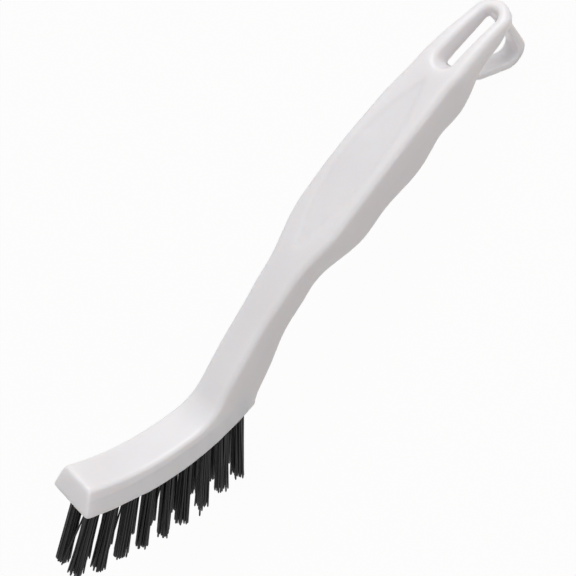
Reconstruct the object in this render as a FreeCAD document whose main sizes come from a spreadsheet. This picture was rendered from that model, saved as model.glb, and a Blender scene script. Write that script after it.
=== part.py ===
"""Crevice brush: one moulded handle whose curved head carries two rows of stapled nylon tufts.

Design frame, in millimetres: X runs along the brush towards the hanging end, Y runs across it and Z is up.
The origin is the lowest point of the head's curved top. At the end every piece gets the same rest
placement, in which the brush stands on its rear tufts and on its hanging loop.
"""
import FreeCAD, Part
import math
import os

import Sketcher
from FreeCAD import Placement, Rotation, Vector

SIZES = {
    # Head: top and sole are arcs about one centre, measured as angles from straight below that centre
    "head_top_radius": 68.0,
    "head_height": 10.8,
    "nose_angle": 54.0,
    "head_rear_angle": 19.0,
    "head_top_width": 13.8,
    "head_side_width": 18.8,
    "head_sole_width": 19.4,
    "head_side_depth": 3.8,
    "head_top_edge": 0.8,
    "head_sole_edge": 0.6,
    "nose_edge": 0.5,
    # Bend above the heel, an arc from the head's top into the neck's
    "bend_radius": 16.0,
    "heel_edge": 1.0,
    # Neck and grip: the top is one long arc that starts steep at the heel and ends level at the slot
    "neck_slope": 26.5,
    "grip_top_radius": 286.5,
    "neck_width": 12.7,
    "waist_height": 12.2,
    "grip_width": 20.8,
    "grip_height": 19.0,
    "finger_groove_depth": 1.1,
    "side_swell": 0.6,
    "bottom_taper": 1.2,
    "grip_top_edge": 1.4,
    "grip_bottom_edge": 2.2,
    # Shallow dished panel on the grip's top, with its middle this far in front of the level end
    "dish_length": 70.0,
    "dish_width": 14.2,
    "dish_depth": 0.9,
    "dish_setback": 42.0,
    # Hanging end: tapering rails round a long slot
    "tail_root_width": 16.2,
    "tail_root_height": 14.8,
    "tail_top_radius": 110.0,
    "tail_slope": 10.5,
    "tail_width": 12.8,
    "tail_height": 6.3,
    "tail_top_edge": 1.3,
    "tail_bottom_edge": 1.2,
    "slot_length": 25.6,
    "slot_width": 7.0,
    "slot_lip": 4.8,
    "slot_flare": 25.0,
    "slot_edge": 0.8,
    "end_wall": 4.0,
    # Hanging loop: a strap that leaves the underside, bends and rises into the end wall
    "strap_width": 5.6,
    "strap_thickness": 2.8,
    "strap_slope": 40.0,
    "strap_bend": 6.1,
    "strap_bottom_z": 6.3,
    "strap_root": 28.0,
    "strap_setback": 1.7,
    # Tufts: two rows of drilled holes along the sole
    "tuft_setback": 7.1,
    "tuft_pitch": 7.4,
    "row_spacing": 7.0,
    "hole_diameter": 4.9,
    "hole_depth": 7.6,
    "front_tuft_angle": 48.5,
    "rear_tuft_angle": 31.0,
    "trim": 32.5,
    "tuft_clearance": 0.1,
    "root_rise": 0.5,
    "filament_diameter": 1.08,
    "inner_ring_radius": 0.66,
    "outer_ring_radius": 1.7,
    "inner_splay": 0.5,
    "outer_splay": 1.4,
    "outer_trim_drop": 0.8,
    # Flat wire staples, pressed across the foot of every hole
    "staple_thickness": 0.5,
    "staple_height": 1.5,
    "staple_bite": 0.45,
    "staple_lift": 0.9,
    "staple_clearance": 0.05,
    # Reach of every cut past the face where it starts
    "overrun": 2.0,
}

# Head sections from the nose to the rear: share of the run between them, share of the side flare
HEAD_SHARES = (
    ("nose", 0.0, 1.0),
    ("head_front", 0.25, 0.79),
    ("head_middle", 0.5, 0.61),
    ("head_back", 0.75, 0.48),
    ("head_rear", 1.0, 0.36),
)
# Bend sections: shares of the turn from head to neck, of the side flare and of the width from head to neck
BEND_SHARES = (
    ("bend_front", 0.34, 0.29, 0.2),
    ("bend_back", 0.67, 0.21, 0.45),
    ("heel", 1.0, 0.14, 0.7),
)
# Rounding of the nose face: shares of the rounding by which a section is set forward and drawn in
NOSE_SHARES = (
    ("nose_bend", 0.71, 0.29),
    ("nose_face", 1.0, 1.0),
)
# Neck sections: share of the long arc, share of width from neck to grip, share of height from waist to heel
NECK_SHARES = (
    ("neck_low", 0.06, 0.0, 0.93),
    ("neck_middle", 0.15, 0.0, 0.62),
    ("neck_high", 0.265, 0.02, 0.16),
    ("waist", 0.36, 0.12, 0.0),
)
# Grip sections: share of the long arc, share of width, share of height from waist to grip, finger grooves
GRIP_SHARES = (
    ("shoulder", 0.42, 0.39, 0.18, 0),
    ("grip_front", 0.48, 0.8, 0.44, 0),
    ("front_swell", 0.56, 0.98, 0.74, 0),
    ("front_groove", 0.655, 1.0, 0.87, 1),
    ("middle_swell", 0.74, 0.93, 1.0, 0),
    ("rear_groove", 0.83, 0.85, 0.87, 1),
    ("rear_swell", 0.9, 0.71, 0.72, 0),
)
# Tail sections: share of the tail's arc, share of the taper from its root to its end
TAIL_SHARES = (
    ("tail_root", 0.0, 0.0),
    ("rails", 0.5, 0.55),
    ("tail_end", 1.0, 1.0),
)
SIDE_DEPTH_SHARE = 0.42

TUFTS_PER_ROW = 9
ROWS = (("left", -1), ("right", 1))
INNER_FILAMENTS = 3
OUTER_FILAMENTS = 6
FILAMENT_SIDES = 6
ROOT_SIDES = 10

# Ends of a sketch's edges, and the sketch's own axes
START, END, CENTRE = 1, 2, 3
H_AXIS, V_AXIS = -1, -2
SOLVER_STEPS = 40
Y_AXIS = Vector(0, 1, 0)

doc = FreeCAD.newDocument("crevice_brush")
sheet = doc.addObject("Spreadsheet::Sheet", "Sizes")
for row, (alias, size) in enumerate(SIZES.items(), start=1):
    sheet.set(f"A{row}", alias)
    sheet.set(f"B{row}", str(size))
    sheet.setAlias(f"B{row}", alias)
doc.recompute()


def cell(name):
    """Expression that reads one size of the sheet."""
    return f"Sizes.{name}"


def blend(first, last, share):
    """Expression for a size that lies a share of the way from one cell to another."""
    return f"({cell(first)} + {share} * ({cell(last)} - {cell(first)}))"


def value(expression):
    """Present value of an expression, as a plain number."""
    result = sheet.evalExpression(expression)
    return getattr(result, "Value", result)


def new_body(label):
    """Empty body for one piece."""
    body = doc.addObject("PartDesign::Body", label)
    body.Label = label
    return body


def new_feature(body, kind, name, bound=None, **settings):
    """Feature of a body, with properties bound to expressions and properties that are set."""
    feature = body.newObject(f"PartDesign::{kind}", name)
    feature.Refine = False
    for key, setting in settings.items():
        setattr(feature, key, setting)
    for key, expression in (bound or {}).items():
        feature.setExpression(key, expression)
    return feature


def new_sketch(body, name, plane, base=("0", "0", "0"), axis=None, angle="0"):
    """Sketch on one of the body's own planes, shifted and turned in that plane's frame."""
    sketch = body.newObject("Sketcher::SketchObject", name)
    support = next(item for item in body.Origin.OriginFeatures if item.Role == plane)
    sketch.AttachmentSupport = [(support, "")]
    sketch.MapMode = "FlatFace"
    if axis is not None:
        sketch.AttachmentOffset = Placement(Vector(), Rotation(axis, 1))
        sketch.setExpression(".AttachmentOffset.Rotation.Angle", angle)
    for letter, expression in zip("xyz", base):
        sketch.setExpression(f".AttachmentOffset.Base.{letter}", expression)
    return sketch


def line(sketch, start, end):
    """Straight edge between two points."""
    return sketch.addGeometry(Part.LineSegment(Vector(*start), Vector(*end)))


def circle(sketch, centre, radius):
    """Whole circle."""
    return sketch.addGeometry(Part.Circle(Vector(*centre), Vector(0, 0, 1), radius))


def arc(sketch, centre, radius, start, end):
    """Arc between two angles, counter-clockwise."""
    round_edge = Part.Circle(Vector(*centre), Vector(0, 0, 1), radius)
    return sketch.addGeometry(Part.ArcOfCircle(round_edge, start, end))


def relate(sketch, *constraint):
    """Geometric constraint, without a dimension."""
    sketch.addConstraint(Sketcher.Constraint(*constraint))


def dimension(sketch, name, expression, *constraint):
    """Named dimension, bound to an expression."""
    index = sketch.addConstraint(Sketcher.Constraint(*constraint, value(expression)))
    sketch.renameConstraint(index, name)
    sketch.setExpression(f"Constraints.{name}", expression)


def rectangle(sketch, width, height, centre_x="0", centre_y="0", tag=""):
    """Upright rectangle about a centre."""
    half_width = value(width) / 2
    half_height = value(height) / 2
    middle_x = value(centre_x)
    middle_y = value(centre_y)
    left, right = middle_x - half_width, middle_x + half_width
    low, high = middle_y - half_height, middle_y + half_height
    corners = ((left, low), (right, low), (right, high), (left, high))
    edges = [line(sketch, corners[i], corners[(i + 1) % 4]) for i in range(4)]
    for i in range(4):
        relate(sketch, "Coincident", edges[i], END, edges[(i + 1) % 4], START)
        relate(sketch, "Vertical" if i % 2 else "Horizontal", edges[i])
    dimension(sketch, f"width{tag}", width, "DistanceX", edges[0], START, edges[0], END)
    dimension(sketch, f"height{tag}", height, "DistanceY", edges[1], START, edges[1], END)
    left_edge = f"{centre_x} - {width} / 2"
    low_edge = f"{centre_y} - {height} / 2"
    dimension(sketch, f"left{tag}", left_edge, "DistanceX", H_AXIS, START, edges[0], START)
    dimension(sketch, f"low{tag}", low_edge, "DistanceY", H_AXIS, START, edges[0], START)


# Cross-sections of the handle


def section_points(sizes):
    """Right-hand corners of a cross-section below its top centre, from the top to the bottom."""
    top, side, bottom, depth, height, top_edge, bottom_edge = (value(size) for size in sizes)
    return (
        (top / 2 - top_edge, 0),
        (top / 2, -top_edge),
        (side / 2, -depth),
        (bottom / 2, bottom_edge - height),
        (bottom / 2 - bottom_edge, -height),
    )


def whole_section(sketch, sizes):
    """Closed cross-section with bevelled edges, alike on both sides, whose sides meet on the parting line."""
    right = section_points(sizes)
    left = [(-x, z) for x, z in reversed(right)]
    corners = [*right, *left]
    edges = [line(sketch, start, end) for start, end in zip(corners, corners[1:] + corners[:1])]
    for edge, following in zip(edges, edges[1:] + edges[:1]):
        relate(sketch, "Coincident", edge, END, following, START)
    last = len(edges) - 1
    for i in range(len(right)):
        relate(sketch, "Symmetric", edges[i], START, edges[last - 1 - i], END, V_AXIS)
    relate(sketch, "PointOnObject", edges[0], START, H_AXIS)
    section_dimensions(sketch, edges, sizes)


def half_section(sketch, sizes):
    """Right half of the same cross-section, closed along its middle, to be turned about that line."""
    right = section_points(sizes)
    corners = [*right, (0, right[-1][1]), (0, 0)]
    edges = [line(sketch, start, end) for start, end in zip(corners, corners[1:] + corners[:1])]
    for edge, following in zip(edges, edges[1:] + edges[:1]):
        relate(sketch, "Coincident", edge, END, following, START)
    relate(sketch, "Coincident", edges[-1], START, H_AXIS, START)
    relate(sketch, "Horizontal", edges[-1])
    relate(sketch, "Vertical", edges[-2])
    relate(sketch, "Horizontal", edges[-3])
    section_dimensions(sketch, edges, sizes)


def section_dimensions(sketch, edges, sizes):
    """Widths, depths and bevels of the right-hand corners, which start the list of edges."""
    top, side, bottom, depth, height, top_edge, bottom_edge = sizes
    bevel, upper, lower, foot = edges[:4]
    origin = (H_AXIS, START)
    dimension(sketch, "top_width", f"{top} / 2", "DistanceX", *origin, upper, START)
    dimension(sketch, "top_bevel", top_edge, "DistanceX", bevel, START, bevel, END)
    dimension(sketch, "top_bevel_depth", top_edge, "DistanceY", bevel, END, *origin)
    dimension(sketch, "side_width", f"{side} / 2", "DistanceX", *origin, lower, START)
    dimension(sketch, "side_depth", depth, "DistanceY", lower, START, *origin)
    dimension(sketch, "bottom_width", f"{bottom} / 2", "DistanceX", *origin, foot, START)
    dimension(sketch, "bottom_bevel", bottom_edge, "DistanceX", foot, END, foot, START)
    dimension(sketch, "bottom_bevel_depth", bottom_edge, "DistanceY", foot, END, foot, START)
    dimension(sketch, "height", height, "DistanceY", foot, END, *origin)


# Places along the handle, as expressions for X, Z and the lean of the section towards the hanging end


def head_place(share):
    """Section of the head on a ray from the centre of its arcs."""
    angle = blend("nose_angle", "head_rear_angle", share)
    radius = cell("head_top_radius")
    return f"-{radius} * sin({angle})", f"{radius} * (1 - cos({angle}))", angle


def bend_place(share):
    """Section on a ray from the centre of the bend, which lies on the head's last ray."""
    rear = cell("head_rear_angle")
    head_radius = cell("head_top_radius")
    angle = f"({rear} - {share} * ({rear} + {cell('neck_slope')}))"
    radius = cell("bend_radius")
    centre = f"({head_radius} - {radius})"
    along = f"-{centre} * sin({rear}) - {radius} * sin({angle})"
    height = f"{head_radius} - {centre} * cos({rear}) - {radius} * cos({angle})"
    return along, height, angle


def bend_height(share):
    """Height of a bend section, down to the sole's arc."""
    turn = f"({share} * ({cell('head_rear_angle')} + {cell('neck_slope')}))"
    radius = cell("bend_radius")
    centre = f"({cell('head_top_radius')} - {radius})"
    sole = f"({cell('head_top_radius')} + {cell('head_height')})"
    return f"(sqrt({sole} ^ 2 - ({centre} * sin({turn})) ^ 2) - {centre} * cos({turn}) - {radius})"


def grip_place(share):
    """Section square to the long arc of neck and grip, which follows the bend."""
    heel_x, heel_z, _ = bend_place(1)
    start = cell("neck_slope")
    slope = f"({start} * (1 - {share}))"
    radius = cell("grip_top_radius")
    along = f"{heel_x} + {radius} * (sin({start}) - sin({slope}))"
    height = f"{heel_z} + {radius} * (cos({slope}) - cos({start}))"
    return along, height, f"-{slope}"


def tail_place(share):
    """Section square to the arc of the hanging end, which follows the long arc."""
    root_x, root_z, _ = grip_place(1)
    slope = f"({cell('tail_slope')} * {share})"
    radius = cell("tail_top_radius")
    return f"{root_x} + {radius} * sin({slope})", f"{root_z} - {radius} * (1 - cos({slope}))", slope


def head_sizes(flare_share):
    """Sizes of a head section: narrow top, then a flare to the parting line and an upright lower side."""
    top = cell("head_top_width")
    side = blend("head_top_width", "head_side_width", flare_share)
    sole = blend("head_top_width", "head_sole_width", flare_share)
    return (top, side, sole, cell("head_side_depth"), cell("head_height"),
            cell("head_top_edge"), cell("head_sole_edge"))


def nose_place(forward_share, inset_share):
    """Section in front of the nose end, drawn in from its outline."""
    along, height, angle = head_place(0)
    forward = f"{forward_share} * {cell('nose_edge')}"
    inset = f"{inset_share} * {cell('nose_edge')}"
    along = f"{along} - {forward} * cos({angle}) - {inset} * sin({angle})"
    height = f"{height} + {forward} * sin({angle}) - {inset} * cos({angle})"
    return along, height, angle


def nose_sizes(inset_share):
    """Sizes of a section of the nose rounding."""
    inset = f"{inset_share} * {cell('nose_edge')}"
    top, side, sole, depth, height, top_edge, sole_edge = head_sizes(1.0)
    top, side, sole, height = (f"({size} - 2 * {inset})" for size in (top, side, sole, height))
    return (top, side, sole, f"({depth} - {inset})", height,
            f"({top_edge} - {inset})", f"({sole_edge} - {inset})")


def bend_sizes(turn_share, flare_share, width_share):
    """Sizes of a bend section, between those of the head and those of the neck."""
    top = blend("head_top_width", "neck_width", width_share)
    side = f"({top} + {flare_share} * ({cell('head_side_width')} - {cell('head_top_width')}))"
    sole = f"({top} + {flare_share} * ({cell('head_sole_width')} - {cell('head_top_width')}))"
    height = bend_height(turn_share)
    head_depth = f"{1 - turn_share} * {cell('head_side_depth')}"
    depth = f"({head_depth} + {turn_share * SIDE_DEPTH_SHARE} * {height})"
    top_edge = blend("head_top_edge", "grip_top_edge", turn_share)
    return (top, side, sole, depth, height, top_edge, blend("head_sole_edge", "heel_edge", turn_share))


def grip_sizes(width, height, bottom_edge):
    """Sizes of a neck or grip section, a little fuller at the parting line than at top and bottom."""
    side = f"({width} + {cell('side_swell')})"
    bottom = f"({width} - {cell('bottom_taper')})"
    depth = f"{SIDE_DEPTH_SHARE} * ({height})"
    return (width, side, bottom, depth, height, cell("grip_top_edge"), bottom_edge)


def tail_sizes(taper_share):
    """Sizes of a section of the hanging end."""
    width = blend("tail_root_width", "tail_width", taper_share)
    height = blend("tail_root_height", "tail_height", taper_share)
    top_edge = blend("grip_top_edge", "tail_top_edge", taper_share)
    bottom_edge = blend("grip_bottom_edge", "tail_bottom_edge", taper_share)
    side = f"({width} + {cell('side_swell')} * {1 - taper_share})"
    bottom = f"({width} - {cell('bottom_taper')} * {1 - taper_share})"
    return (width, side, bottom, f"{SIDE_DEPTH_SHARE} * ({height})", height, top_edge, bottom_edge)


def handle_sections():
    """Name, place and sizes of every section from the nose to the hanging end."""
    for name, share, flare_share in HEAD_SHARES:
        yield name, head_place(share), head_sizes(flare_share)
    for name, turn_share, flare_share, width_share in BEND_SHARES:
        yield name, bend_place(turn_share), bend_sizes(turn_share, flare_share, width_share)
    for name, share, width_share, height_share in NECK_SHARES:
        width = blend("neck_width", "grip_width", width_share)
        waist = cell("waist_height")
        height = f"({waist} + {height_share} * ({bend_height(1)} - {waist}))"
        yield name, grip_place(share), grip_sizes(width, height, cell("heel_edge"))
    for name, share, width_share, height_share, grooves in GRIP_SHARES:
        width = blend("neck_width", "grip_width", width_share)
        base = blend("waist_height", "grip_height", height_share)
        height = f"({base} - {grooves} * {cell('finger_groove_depth')})"
        yield name, grip_place(share), grip_sizes(width, height, cell("grip_bottom_edge"))
    for name, share, taper_share in TAIL_SHARES:
        yield name, tail_place(share), tail_sizes(taper_share)


# Features of the handle


def section_sketch(body, name, place):
    """Empty sketch square to the handle at one of its places."""
    along, height, lean = place
    return new_sketch(body, name, "YZ_Plane", ("0", height, along), Vector(1, 0, 0), lean)


def edge_names(shape, edges):
    """Names of some edges of a shape."""
    return [f"Edge{i}" for i, edge in enumerate(shape.Edges, start=1) if any(edge.isSame(e) for e in edges)]


def add_form(body):
    """Outer form: lofts of head, bend and grip, a half turn at the hanging end and a rounded nose."""
    sketches = []
    for name, place, sizes in handle_sections():
        sketch = section_sketch(body, name, place)
        whole_section(sketch, sizes)
        sketches.append(sketch)
    rear = len(HEAD_SHARES) - 1
    heel = rear + len(BEND_SHARES)
    for name, first, last in (("head", 0, rear), ("bend", rear, heel), ("grip", heel, len(sketches) - 1)):
        following = sketches[first + 1:last + 1]
        new_feature(body, "AdditiveLoft", name, Profile=sketches[first], Sections=following)
    name, share, taper_share = TAIL_SHARES[-1]
    sketch = section_sketch(body, "tail_turn", tail_place(share))
    half_section(sketch, tail_sizes(taper_share))
    tip = new_feature(body, "Revolution", "tail_tip", Profile=sketch, Angle=180.0, Reversed=True)
    tip.ReferenceAxis = (sketch, ["V_Axis"])
    doc.recompute()
    start = section_sketch(body, "nose_start", head_place(0))
    whole_section(start, head_sizes(1.0))
    sketches = []
    for name, forward_share, inset_share in NOSE_SHARES:
        sketch = section_sketch(body, name, nose_place(forward_share, inset_share))
        whole_section(sketch, nose_sizes(inset_share))
        sketches.append(sketch)
    new_feature(body, "AdditiveLoft", "nose_rounding", Profile=start, Sections=sketches)
    doc.recompute()


def slot_rear():
    """Expression for the slot's rear end, in front of the end wall."""
    tip_x, _, _ = tail_place(1)
    return f"({tip_x} + {cell('tail_width')} / 2 - {cell('end_wall')})"


def strap_places():
    """Expressions for the strap's bend: its centre, its inner radius and the top of its upright leg."""
    _, tip_z, _ = tail_place(1)
    inner_x = f"({slot_rear()} - {cell('strap_setback')})"
    inner_radius = f"({cell('strap_bend')} - {cell('strap_thickness')})"
    centre_x = f"({inner_x} - {inner_radius})"
    centre_z = f"({cell('strap_bottom_z')} + {cell('strap_bend')})"
    top_z = f"({tip_z} - {cell('tail_height')} / 2)"
    return inner_x, centre_x, centre_z, inner_radius, top_z


def strap_leg(radius, slope, length, centre):
    """Ends of the sloping leg's face that runs into the bend at a radius from the bend's centre."""
    foot = (centre[0] - radius * math.sin(slope), centre[1] - radius * math.cos(slope))
    return (foot[0] - length * math.cos(slope), foot[1] + length * math.sin(slope)), foot


def slot_outline(core, name, level):
    """Sketch of the slot in plan, a stadium, at a level."""
    sketch = new_sketch(core, name, "XY_Plane", ("0", "0", level))
    radius = value(cell("slot_width")) / 2
    rear = value(slot_rear()) - radius
    front = rear - value(cell("slot_length")) + 2 * radius
    sides = [line(sketch, (front, -radius), (rear, -radius)), line(sketch, (rear, radius), (front, radius))]
    ends = [arc(sketch, (rear, 0), radius, -math.pi / 2, math.pi / 2)]
    ends.append(arc(sketch, (front, 0), radius, math.pi / 2, 3 * math.pi / 2))
    for i in range(2):
        relate(sketch, "Tangent", sides[i], END, ends[i], START)
        relate(sketch, "Tangent", ends[i], END, sides[1 - i], START)
        relate(sketch, "PointOnObject", ends[i], CENTRE, H_AXIS)
    dimension(sketch, "slot_width", f"{cell('slot_width')} / 2", "Radius", ends[0])
    run = f"({cell('slot_length')} - {cell('slot_width')})"
    dimension(sketch, "slot_run", run, "DistanceX", ends[1], CENTRE, ends[0], CENTRE)
    rear_centre = f"{slot_rear()} - {cell('slot_width')} / 2"
    dimension(sketch, "rear_centre", rear_centre, "DistanceX", H_AXIS, START, ends[0], CENTRE)
    return sketch


def add_slot(body):
    """Slot through the rails, straight at first and flared below, with a floor that runs into the strap."""
    inner_x, centre_x, centre_z, inner_radius, _ = strap_places()
    core = new_body("slot_core")
    _, root_z, _ = tail_place(0)
    _, tip_z, _ = tail_place(1)
    top = f"({root_z} + {cell('overrun')})"
    sketch = slot_outline(core, "slot_outline", top)
    depth = {"Length": f"{top} - {cell('strap_bottom_z')}"}
    new_feature(core, "Pad", "slot_column", depth, Profile=sketch, Reversed=True)
    lip = f"({tip_z} - {cell('slot_lip')})"
    sketch = slot_outline(core, "flare_outline", lip)
    depth = {"Length": f"{lip} - {cell('strap_bottom_z')}", "TaperAngle": cell("slot_flare")}
    new_feature(core, "Pad", "slot_flare", depth, Profile=sketch, Reversed=True)

    sketch = new_sketch(core, "floor_outline", "XZ_Plane")
    reach = f"({cell('slot_length')} + {cell('strap_root')})"
    centre = (value(centre_x), value(centre_z))
    slope = math.radians(value(cell("strap_slope")))
    start, foot = strap_leg(value(inner_radius), slope, value(reach), centre)
    right = value(inner_x) + value(cell("overrun"))
    low = value(cell("strap_bottom_z")) - value(cell("overrun"))
    bend_end = (centre[0] + value(inner_radius), centre[1])
    floor = line(sketch, start, foot)
    bend = arc(sketch, centre, value(inner_radius), 3 * math.pi / 2 - slope, 2 * math.pi)
    step = line(sketch, bend_end, (right, centre[1]))
    outer = line(sketch, (right, centre[1]), (right, low))
    base = line(sketch, (right, low), (start[0], low))
    front_side = line(sketch, (start[0], low), start)
    relate(sketch, "Tangent", floor, END, bend, START)
    relate(sketch, "Coincident", bend, END, step, START)
    relate(sketch, "Coincident", step, END, outer, START)
    relate(sketch, "Coincident", outer, END, base, START)
    relate(sketch, "Coincident", base, END, front_side, START)
    relate(sketch, "Coincident", front_side, END, floor, START)
    relate(sketch, "Horizontal", bend, CENTRE, bend, END)
    relate(sketch, "Horizontal", step)
    relate(sketch, "Vertical", outer)
    relate(sketch, "Horizontal", base)
    relate(sketch, "Vertical", front_side)
    place_bend(sketch, bend, floor, centre_x, centre_z, inner_radius)
    dimension(sketch, "reach", reach, "Distance", floor, START, floor, END)
    dimension(sketch, "step", cell("overrun"), "DistanceX", step, START, step, END)
    low_edge = f"{cell('strap_bottom_z')} - {cell('overrun')}"
    dimension(sketch, "low_edge", low_edge, "DistanceY", H_AXIS, START, base, START)
    new_feature(core, "Pocket", "slot_floor", Profile=sketch, Type="ThroughAll", Midplane=True)

    cut = body.newObject("PartDesign::Boolean", "slot")
    cut.Type = "Cut"
    cut.setObjects([core])
    doc.recompute()
    names = edge_names(cut.Shape, slot_rim(cut.Shape))
    new_feature(body, "Chamfer", "slot_bevel", {"Size": cell("slot_edge")}, Base=(cut, names))
    doc.recompute()


def place_bend(sketch, bend, leg, centre_x, centre_z, radius):
    """Dimensions of a bend in the strap and the slope of the leg that runs into it."""
    dimension(sketch, "bend_x", centre_x, "DistanceX", H_AXIS, START, bend, CENTRE)
    dimension(sketch, "bend_z", centre_z, "DistanceY", H_AXIS, START, bend, CENTRE)
    dimension(sketch, "bend_radius", radius, "Radius", bend)
    slope = math.radians(value(cell("strap_slope")))
    index = sketch.addConstraint(Sketcher.Constraint("Angle", leg, -slope))
    sketch.renameConstraint(index, "slope")
    sketch.setExpression("Constraints.slope", f"-{cell('strap_slope')} * 1 deg")


def slot_rim(shape):
    """Edges where the slot's wall meets the top of the rails."""
    rear = value(slot_rear())
    front = rear - value(cell("slot_length"))
    half_width = value(cell("slot_width")) / 2
    margin = value(cell("slot_edge")) / 2
    _, tip_z, _ = tail_place(1)
    low = value(tip_z) - value(cell("tail_height")) / 2
    rim = []
    for edge in shape.Edges:
        box = edge.BoundBox
        inside = box.XMin > front - margin and box.XMax < rear + margin
        inside = inside and max(-box.YMin, box.YMax) < half_width + margin
        if inside and box.ZMin > low and math.hypot(box.XLength, box.YLength) > box.ZLength:
            rim.append(edge)
    return rim


def add_strap(body):
    """Strap below the slot: a sloping leg from the underside, a bend and an upright leg into the end wall."""
    inner_x, centre_x, centre_z, inner_radius, top_z = strap_places()
    sketch = new_sketch(body, "strap_outline", "XZ_Plane")
    centre = (value(centre_x), value(centre_z))
    slope = math.radians(value(cell("strap_slope")))
    inner = value(inner_radius)
    outer = value(cell("strap_bend"))
    length = value(cell("strap_root"))
    top = value(top_z)
    inner_start, inner_foot = strap_leg(inner, slope, length, centre)
    outer_start, outer_foot = strap_leg(outer, slope, length, centre)
    inner_leg = line(sketch, inner_start, inner_foot)
    inner_bend = arc(sketch, centre, inner, 3 * math.pi / 2 - slope, 2 * math.pi)
    inner_rise = line(sketch, (centre[0] + inner, centre[1]), (centre[0] + inner, top))
    cap = line(sketch, (centre[0] + inner, top), (centre[0] + outer, top))
    outer_rise = line(sketch, (centre[0] + outer, top), (centre[0] + outer, centre[1]))
    outer_bend = arc(sketch, centre, outer, 3 * math.pi / 2 - slope, 2 * math.pi)
    outer_leg = line(sketch, outer_foot, outer_start)
    root = line(sketch, outer_start, inner_start)
    relate(sketch, "Tangent", inner_leg, END, inner_bend, START)
    relate(sketch, "Tangent", inner_bend, END, inner_rise, START)
    relate(sketch, "Coincident", inner_rise, END, cap, START)
    relate(sketch, "Coincident", cap, END, outer_rise, START)
    relate(sketch, "Tangent", outer_rise, END, outer_bend, END)
    relate(sketch, "Tangent", outer_bend, START, outer_leg, START)
    relate(sketch, "Coincident", outer_leg, END, root, START)
    relate(sketch, "Coincident", root, END, inner_leg, START)
    relate(sketch, "Coincident", inner_bend, CENTRE, outer_bend, CENTRE)
    relate(sketch, "Vertical", inner_rise)
    relate(sketch, "Vertical", outer_rise)
    relate(sketch, "Horizontal", cap)
    relate(sketch, "Parallel", inner_leg, outer_leg)
    relate(sketch, "Perpendicular", inner_leg, root)
    place_bend(sketch, inner_bend, inner_leg, centre_x, centre_z, inner_radius)
    dimension(sketch, "outer_radius", cell("strap_bend"), "Radius", outer_bend)
    dimension(sketch, "top", top_z, "DistanceY", H_AXIS, START, cap, START)
    dimension(sketch, "leg", cell("strap_root"), "Distance", inner_leg, START, inner_leg, END)
    new_feature(body, "Pad", "strap", {"Length": cell("strap_width")}, Profile=sketch, Midplane=True)
    doc.recompute()


def add_dish(body):
    """Dished panel: a long flat spindle, turned about a line above the grip, sunk into its top."""
    radius = cell("grip_top_radius")
    length = cell("dish_length")
    depth = cell("dish_depth")
    slope = f"(asin({cell('dish_setback')} / {radius}))"
    level_x, level_z, _ = grip_place(1)
    half_width = f"({cell('dish_width')} / 2)"
    axis_height = f"(({half_width} ^ 2 - {depth} ^ 2) / (2 * {depth}))"
    floor_sag = f"({length} ^ 2 / (8 * {radius}) - {depth})"
    floor_radius = f"({length} ^ 2 / (8 * {floor_sag}))"
    along = f"{level_x} - ({radius} + {axis_height}) * sin({slope})"
    height = f"{level_z} - {radius} + ({radius} + {axis_height}) * cos({slope})"
    sketch = new_sketch(body, "dish_outline", "XZ_Plane", (along, height, "0"), Vector(0, 0, 1), slope)
    half_length = value(length) / 2 + value(cell("overrun"))
    arc_radius = value(floor_radius)
    centre = (0, -value(axis_height) - value(depth) - arc_radius)
    turn = math.asin(half_length / arc_radius)
    end_height = centre[1] + arc_radius * math.cos(turn)
    axis = line(sketch, (-half_length, 0), (half_length, 0))
    right = line(sketch, (half_length, 0), (half_length, end_height))
    floor = arc(sketch, centre, arc_radius, math.pi / 2 - turn, math.pi / 2 + turn)
    left = line(sketch, (-half_length, end_height), (-half_length, 0))
    relate(sketch, "Coincident", axis, END, right, START)
    relate(sketch, "Coincident", right, END, floor, START)
    relate(sketch, "Coincident", floor, END, left, START)
    relate(sketch, "Coincident", left, END, axis, START)
    relate(sketch, "PointOnObject", axis, START, H_AXIS)
    relate(sketch, "Symmetric", axis, START, axis, END, H_AXIS, START)
    relate(sketch, "Vertical", right)
    relate(sketch, "Vertical", left)
    relate(sketch, "PointOnObject", floor, CENTRE, V_AXIS)
    run = f"{length} + 2 * {cell('overrun')}"
    dimension(sketch, "run", run, "DistanceX", axis, START, axis, END)
    dimension(sketch, "floor_radius", floor_radius, "Radius", floor)
    drop = f"{axis_height} + {depth} + {floor_radius}"
    dimension(sketch, "floor_drop", drop, "DistanceY", floor, CENTRE, H_AXIS, START)
    dish = new_feature(body, "Groove", "dish", Profile=sketch, Angle=360.0)
    dish.ReferenceAxis = (sketch, ["H_Axis"])
    doc.recompute()


# Tufts and staples


def tuft_place(station):
    """Expressions for where a tuft leaves the sole, X and Z, and its axis angle from straight down."""
    sole_radius = f"({cell('head_top_radius')} + {cell('head_height')})"
    travel = f"({cell('tuft_setback')} + {station} * {cell('tuft_pitch')})"
    angle = f"({cell('nose_angle')} - {travel} / {sole_radius} * 180 / pi)"
    along = f"-{sole_radius} * sin({angle})"
    height = f"{cell('head_top_radius')} - {sole_radius} * cos({angle})"
    share = station / (TUFTS_PER_ROW - 1)
    return along, height, blend("front_tuft_angle", "rear_tuft_angle", share)


def across(side):
    """Expression for the distance of a row from the middle."""
    return f"{side} * {cell('row_spacing')} / 2"


def drilling_sketch(body, name, station, depth):
    """Sketch square to the tufts of one station, at a depth below the sole."""
    along, height, lean = tuft_place(station)
    base = (f"{along} + ({depth}) * sin({lean})", "0", f"{height} + ({depth}) * cos({lean})")
    return new_sketch(body, f"{name}_{station + 1}", "XY_Plane", base, Y_AXIS, lean)


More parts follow.
